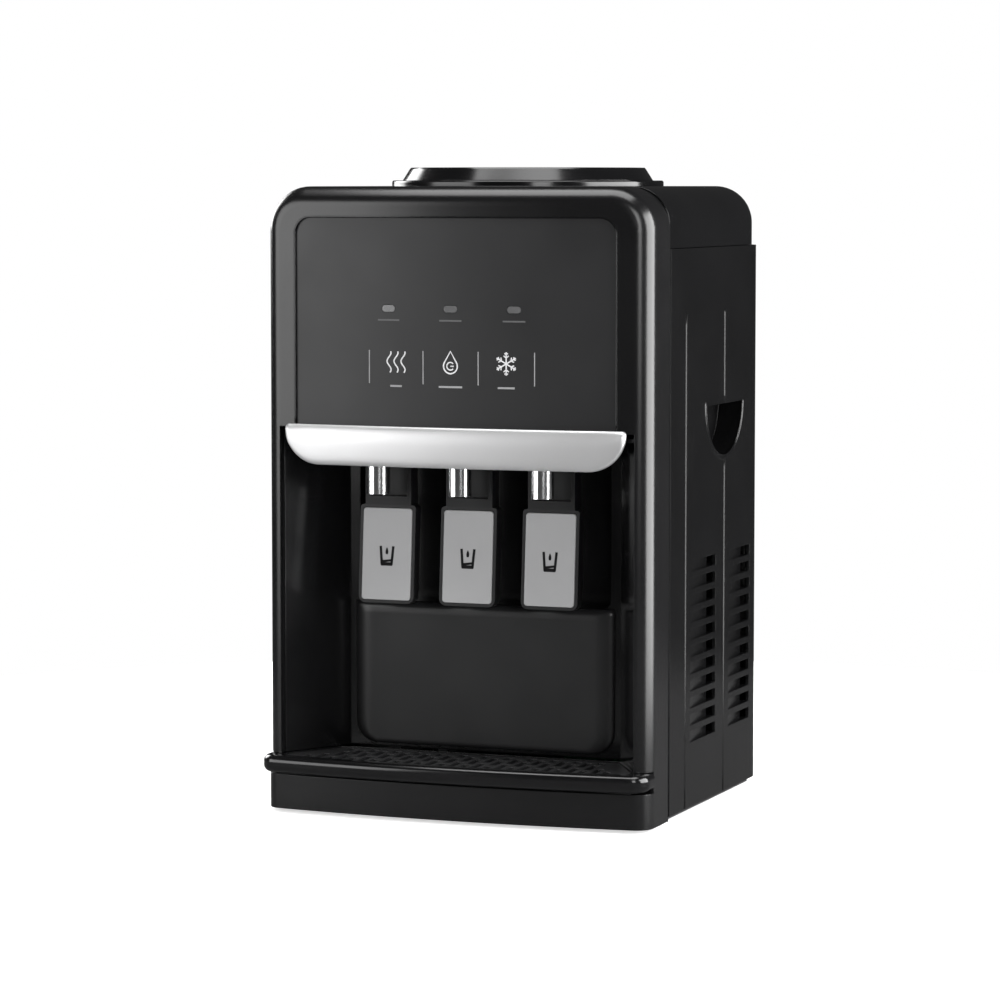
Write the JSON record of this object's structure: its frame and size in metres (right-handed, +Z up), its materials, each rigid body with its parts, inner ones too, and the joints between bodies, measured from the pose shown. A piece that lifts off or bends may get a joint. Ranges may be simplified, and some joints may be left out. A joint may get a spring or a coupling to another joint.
{
  "type": "countertop water dispenser",
  "caption": "Bottle-top tabletop water dispenser with push-lever taps for hot, normal and cold water, a lit fascia, a silver trim bar and a pull-out drip tray.",
  "frame": {"origin": "middle of the footprint, on the surface the rubber feet stand on", "axes": "+Z up, -Y towards the user in front of the taps, +X to the user's right"},
  "size_m": [0.282, 0.273, 0.4455],
  "materials": {
    "black_gloss": "polished black ABS",
    "black_satin": "fine satin black ABS",
    "black_matte": "black moulded plastic",
    "fascia": "satin charcoal panel",
    "silver": "satin silver paint",
    "chrome": "bright chrome",
    "pad_grey": "warm grey plastic",
    "lens": "frosted lens",
    "steel": "stainless steel",
    "aluminium": "extruded aluminium",
    "foam": "expanded polystyrene",
    "white_plastic": "food-grade white plastic",
    "silicone": "milky silicone",
    "rubber": "black rubber",
    "board_green": "circuit board",
    "ceramic_white": "ceramic plate",
    "red_plastic": "red rocker",
    "green_plastic": "green rocker"
  },
  "bodies": {
    "cabinet": {"base_chassis": "black_matte", "rubber_feet": "rubber", "base_apron": "black_satin", "front_frame": "black_gloss", "control_panel": "fascia", "indicator_lenses": "lens", "led_board": "board_green", "silver_trim_bar": "silver", "niche_liner": "black_gloss", "backsplash_panel": "black_satin", "tap_nuts": "white_plastic", "lever_pivot_pins": "steel", "side_panel_right": "black_gloss", "side_panel_left": "black_gloss", "rear_panel": "black_matte", "top_cover": "black_gloss", "bottle_collar": "black_gloss", "cold_tank": "steel", "tank_insulation": "foam", "tank_baffle": "white_plastic", "hot_tank": "steel", "hot_tank_jacket": "foam", "heater_band": "steel", "thermostats": "aluminium", "silicone_hoses": "silicone", "cold_block": "aluminium", "cooling_module": "ceramic_white", "heat_sink": "aluminium", "fan_frame": "black_matte", "fan_screws": "steel", "power_board": "board_green", "switch_housings": "black_matte", "cord_gland": "black_matte", "drain_spigot": "white_plastic", "hot_tap_body": "black_matte", "hot_spout": "chrome", "hot_valve_spring": "steel", "normal_tap_body": "black_matte", "normal_spout": "chrome", "normal_valve_spring": "steel", "cold_tap_body": "black_matte", "cold_spout": "chrome", "cold_valve_spring": "steel"},
    "drip_tray_body": {"drip_tray": "black_gloss"},
    "grille_body": {"drip_grille": "black_gloss"},
    "bottle_seat_body": {"bottle_seat": "black_gloss", "water_probe": "white_plastic"},
    "fan_rotor_body": {"fan_rotor": "black_matte"},
    "hot_switch": {"hot_switch_rocker": "red_plastic"},
    "cold_switch": {"cold_switch_rocker": "green_plastic"},
    "drain_cap_body": {"drain_cap": "black_matte"},
    "hot_lever_body": {"hot_lever": "black_satin", "hot_pad_insert": "pad_grey"},
    "hot_plunger_body": {"hot_valve_plunger": "silicone"},
    "normal_lever_body": {"normal_lever": "black_satin", "normal_pad_insert": "pad_grey"},
    "normal_plunger_body": {"normal_valve_plunger": "silicone"},
    "cold_lever_body": {"cold_lever": "black_satin", "cold_pad_insert": "pad_grey"},
    "cold_plunger_body": {"cold_valve_plunger": "silicone"}
  },
  "joints": [
    {"name": "hot_lever_push", "type": "hinge", "parent": "cabinet", "child": "hot_lever_body", "pos_m": [-0.06, -0.0875, 0.2535], "axis": [1, 0, 0], "range_deg": [0, 10], "stiffness_Nm_per_rad": 0.6, "springref_deg": -8.59},
    {"name": "hot_plunger_lift", "type": "slide", "parent": "cabinet", "child": "hot_plunger_body", "axis": [0, 0, 1], "range_m": [0, 0.0025], "deforming": ["hot_valve_spring"]},
    {"name": "normal_lever_push", "type": "hinge", "parent": "cabinet", "child": "normal_lever_body", "pos_m": [0, -0.0875, 0.2535], "axis": [1, 0, 0], "range_deg": [0, 10], "stiffness_Nm_per_rad": 0.6, "springref_deg": -8.59},
    {"name": "normal_plunger_lift", "type": "slide", "parent": "cabinet", "child": "normal_plunger_body", "axis": [0, 0, 1], "range_m": [0, 0.0025], "deforming": ["normal_valve_spring"]},
    {"name": "cold_lever_push", "type": "hinge", "parent": "cabinet", "child": "cold_lever_body", "pos_m": [0.06, -0.0875, 0.2535], "axis": [1, 0, 0], "range_deg": [0, 10], "stiffness_Nm_per_rad": 0.6, "springref_deg": -8.59},
    {"name": "cold_plunger_lift", "type": "slide", "parent": "cabinet", "child": "cold_plunger_body", "axis": [0, 0, 1], "range_m": [0, 0.0025], "deforming": ["cold_valve_spring"]},
    {"name": "drip_tray_pull", "type": "slide", "parent": "cabinet", "child": "drip_tray_body", "axis": [0, -1, 0], "range_m": [0, 0.075]},
    {"name": "drip_grille_lift", "type": "slide", "parent": "drip_tray_body", "child": "grille_body", "axis": [0, 0, 1], "range_m": [0, 0.06]},
    {"name": "bottle_seat_lift", "type": "slide", "parent": "cabinet", "child": "bottle_seat_body", "axis": [0, 0, 1], "range_m": [0, 0.08]},
    {"name": "fan_spin", "type": "hinge", "parent": "cabinet", "child": "fan_rotor_body", "pos_m": [0, 0.12, 0.3275], "axis": [0, 1, 0], "continuous": true},
    {"name": "hot_switch_rock", "type": "hinge", "parent": "cabinet", "child": "hot_switch", "pos_m": [0.06, 0.1325, 0.2385], "axis": [1, 0, 0], "range_deg": [0, 16]},
    {"name": "cold_switch_rock", "type": "hinge", "parent": "cabinet", "child": "cold_switch", "pos_m": [0.088, 0.1325, 0.2385], "axis": [1, 0, 0], "range_deg": [0, 16]},
    {"name": "drain_cap_turn", "type": "hinge", "parent": "cabinet", "child": "drain_cap_body", "pos_m": [-0.056, 0.125, 0.0485], "axis": [0, 1, 0], "range_deg": [-720, 0]}
  ],
  "couplings": [
    {"joint": "hot_plunger_lift", "follows": "hot_lever_push", "m_per_rad": 0.0137},
    {"joint": "normal_plunger_lift", "follows": "normal_lever_push", "m_per_rad": 0.0137},
    {"joint": "cold_plunger_lift", "follows": "cold_lever_push", "m_per_rad": 0.0137}
  ]
}
